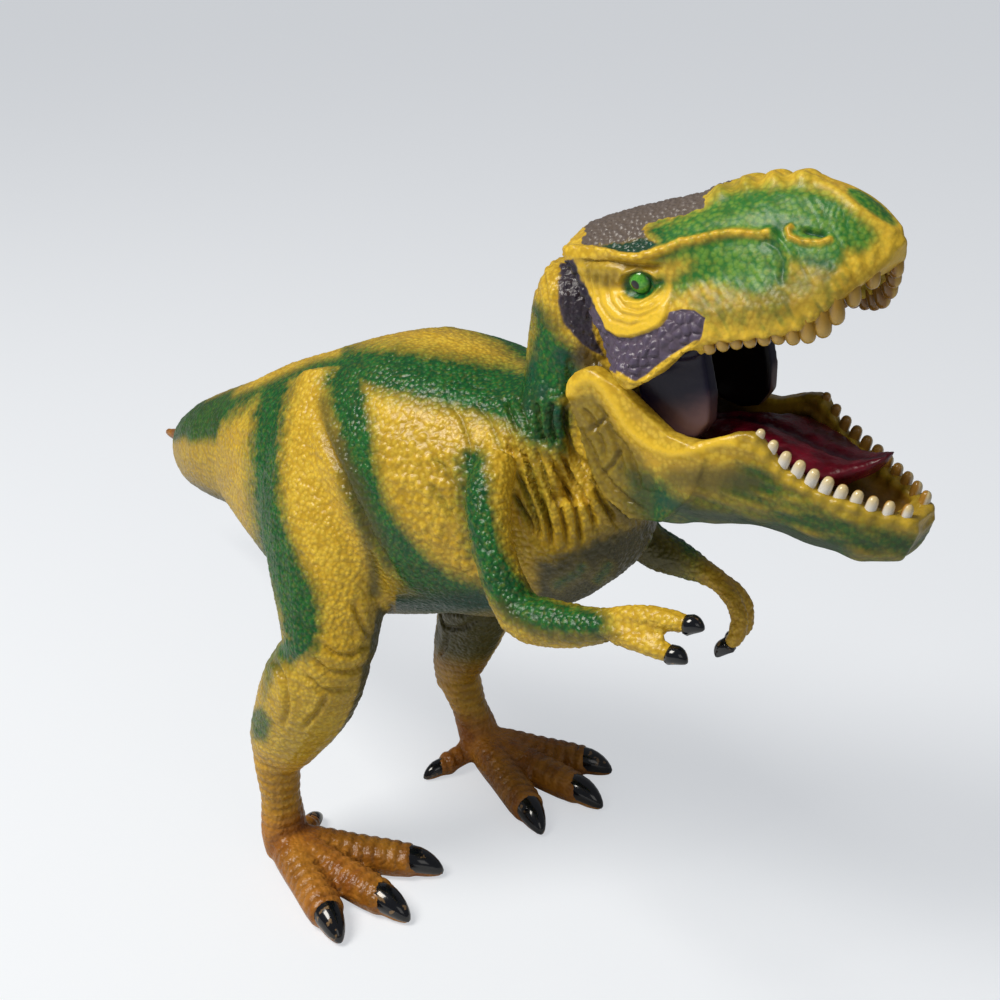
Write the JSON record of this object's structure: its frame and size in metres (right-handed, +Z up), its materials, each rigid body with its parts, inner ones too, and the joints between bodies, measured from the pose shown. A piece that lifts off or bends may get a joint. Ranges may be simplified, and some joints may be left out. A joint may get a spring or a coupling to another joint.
{
  "type": "toy dinosaur figure",
  "caption": "Free-standing bipedal meat-eating dinosaur figure of soft vinyl, green over yellow, tail curled to one side, mouth wide open with a lower jaw that turns on a pin",
  "frame": {"origin": "on the ground, under the middle of the figure's outline as seen from above", "axes": "+X is the way the animal faces, +Y its left, +Z up"},
  "size_m": [0.2466, 0.099, 0.1464],
  "materials": {
    "torso_vinyl": "satin soft vinyl, golden yellow with green bands sprayed on",
    "tail_vinyl": "satin soft vinyl, green over yellow with an orange tip",
    "head_vinyl": "satin soft vinyl, yellow with green snout and dark grey skull roof",
    "mouth_vinyl": "smooth, glossy, near black",
    "jaw_vinyl": "satin soft vinyl, yellow rim and green underside, pearl white teeth",
    "tongue_vinyl": "glossy dark red paint",
    "pin_steel": "plain steel, hidden between the jaw's ears",
    "leg_vinyl": "satin soft vinyl, yellow thigh with green stripes, orange-brown foot, glossy black claws",
    "arm_vinyl": "satin soft vinyl, green arm and yellow hand, glossy black claws"
  },
  "bodies": {
    "figure": {"torso": "torso_vinyl", "tail": "tail_vinyl", "head_and_neck": "head_vinyl", "mouth_lining": "mouth_vinyl", "jaw_hinge_pin": "pin_steel", "right_leg": "leg_vinyl", "left_leg": "leg_vinyl", "right_arm": "arm_vinyl", "left_arm": "arm_vinyl"},
    "jaw": {"lower_jaw": "jaw_vinyl", "tongue": "tongue_vinyl"}
  },
  "joints": [
    {"name": "jaw_hinge", "type": "hinge", "parent": "figure", "child": "jaw", "pos_m": [0.07129, -0.00896, 0.1104], "axis": [0, -1, 0], "range_deg": [0, 24]}
  ]
}
